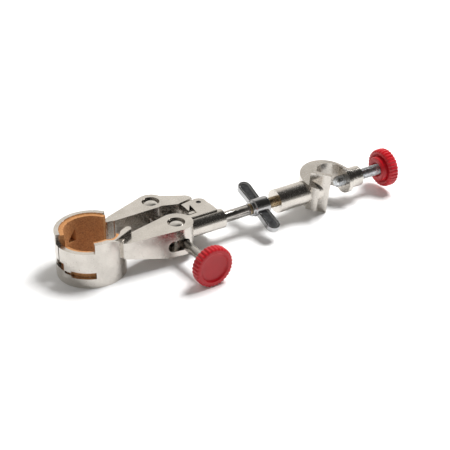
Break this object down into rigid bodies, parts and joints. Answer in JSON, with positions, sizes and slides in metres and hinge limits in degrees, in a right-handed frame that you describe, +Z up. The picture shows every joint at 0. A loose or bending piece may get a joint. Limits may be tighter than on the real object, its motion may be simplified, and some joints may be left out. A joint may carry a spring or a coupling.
{
  "type": "laboratory extension clamp with boss head",
  "caption": "Laboratory extension clamp: cork-lined round jaws worked by a knob screw, a rod, a wing nut and a swivelling boss head with a clamping screw.",
  "frame": {"origin": "centre of the round grip between the jaws, half way up them", "axes": "+Z up the grip, +X from the grip along the rod to the boss head, +Y towards the moving jaw"},
  "size_m": [0.2605, 0.0999, 0.0348],
  "materials": {
    "nickel_casting": "bright nickel plate on a zinc casting",
    "cork": "fine-grained composition cork",
    "polished_rod": "polished plated steel",
    "steel_fittings": "plated steel",
    "dark_casting": "dark plated die casting, slightly satin",
    "zinc_screw": "zinc-plated thread",
    "red_plastic": "moulded red plastic, satin gloss"
  },
  "bodies": {
    "frame": {"frame_casting": "nickel_casting", "fixed_cork": "cork", "rod": "polished_rod", "pivot_pin": "steel_fittings"},
    "jaw": {"moving_arm": "nickel_casting", "moving_cork": "cork"},
    "near_nut": {"near_barrel": "steel_fittings"},
    "far_nut": {"far_barrel": "steel_fittings"},
    "screw": {"jaw_screw": "polished_rod", "screw_clip": "steel_fittings", "jaw_knob": "red_plastic"},
    "wing": {"wing_nut": "dark_casting"},
    "boss": {"boss_head": "nickel_casting"},
    "clamp_screw": {"boss_screw": "zinc_screw"},
    "clamp_knob": {"boss_knob": "red_plastic"}
  },
  "joints": [
    {"name": "jaw_pivot", "type": "hinge", "parent": "frame", "child": "jaw", "pos_m": [0.0837, 0.0015, 0], "axis": [0, 0, 1], "range_deg": [-30, 0]},
    {"name": "near_nut_swivel", "type": "hinge", "parent": "frame", "child": "near_nut", "pos_m": [0.0571, -0.0139, 0], "axis": [0, 0, 1], "range_deg": [-17, 1]},
    {"name": "far_nut_swivel", "type": "hinge", "parent": "jaw", "child": "far_nut", "pos_m": [0.05622, 0.0197, 0], "axis": [0, 0, 1], "range_deg": [-1, 14]},
    {"name": "jaw_screw_turn", "type": "hinge", "parent": "near_nut", "child": "screw", "pos_m": [0.0571, -0.0139, -0.002], "axis": [0.0262, -0.9997, 0], "continuous": true},
    {"name": "wing_nut_turn", "type": "hinge", "parent": "frame", "child": "wing", "pos_m": [0.123, -0.0138, 0.0014], "axis": [1, 0, 0], "continuous": true},
    {"name": "boss_swivel", "type": "hinge", "parent": "frame", "child": "boss", "pos_m": [0.15, -0.0138, 0.0014], "axis": [1, 0, 0], "continuous": true},
    {"name": "clamp_screw_feed", "type": "slide", "parent": "boss", "child": "clamp_screw", "axis": [-1, 0, 0], "range_m": [-0.006, 0.0164]},
    {"name": "clamp_knob_turn", "type": "hinge", "parent": "clamp_screw", "child": "clamp_knob", "pos_m": [0.225, -0.0138, 0.0014], "axis": [-1, 0, 0], "range_deg": [-1700, 4700]}
  ],
  "couplings": [
    {"joint": "near_nut_swivel", "follows": "jaw_pivot", "ratio": 0.54825},
    {"joint": "far_nut_swivel", "follows": "jaw_pivot", "ratio": -0.45175},
    {"joint": "jaw_screw_turn", "follows": "jaw_pivot", "ratio": -154.09},
    {"joint": "clamp_screw_feed", "follows": "clamp_knob_turn", "m_per_rad": 0.00019894}
  ]
}
